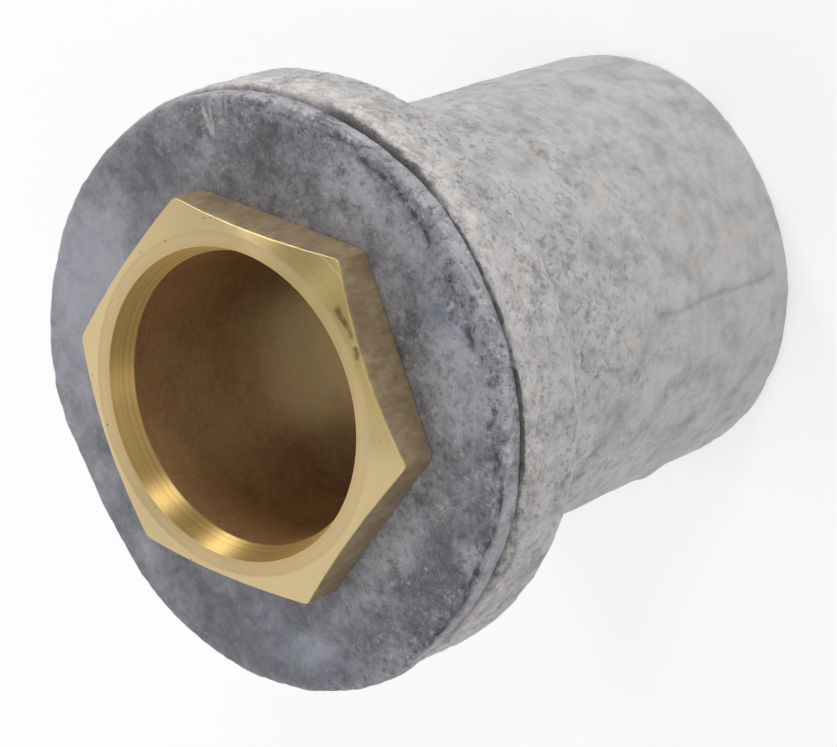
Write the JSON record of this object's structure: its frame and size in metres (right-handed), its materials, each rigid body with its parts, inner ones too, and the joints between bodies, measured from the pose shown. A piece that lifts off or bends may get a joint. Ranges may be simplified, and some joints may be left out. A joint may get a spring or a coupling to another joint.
{
  "type": "flanged coupler",
  "caption": "Flanged conduit coupler: a tapered galvanised iron socket with a lead sealing washer and a brass hexagon bush on its flange.",
  "frame": {"origin": "on the bore's axis, in the plane of the barrel's open end, on which the coupler stands", "axes": "+Z along the bore, from the barrel's open end towards the hexagon; +X square to one flat of the hexagon"},
  "size_m": [0.045, 0.045, 0.0479],
  "materials": {
    "galvanised_iron": "rough casting, hot-dip galvanised, dull light grey with small pits and beads",
    "lead": "oxidised lead, mottled blue-grey, dull, with rubbed brighter spots near its rim",
    "brass": "turned brass with fine turning marks, milled flats dull and browner"
  },
  "bodies": {
    "coupler": {"coupler_body": "galvanised_iron"},
    "washer": {"lead_washer": "lead"},
    "bush": {"brass_bush": "brass"}
  },
  "joints": [
    {"name": "washer_slide", "type": "slide", "parent": "coupler", "child": "washer", "axis": [0, 0, 1], "range_m": [0, 0.018]},
    {"name": "bush_turn", "type": "hinge", "parent": "washer", "child": "bush", "pos_m": [0, 0, 0.0437], "axis": [0, 0, 1], "range_deg": [0, 4320]}
  ],
  "couplings": [
    {"joint": "washer_slide", "follows": "bush_turn", "m_per_rad": 0.00023873}
  ]
}
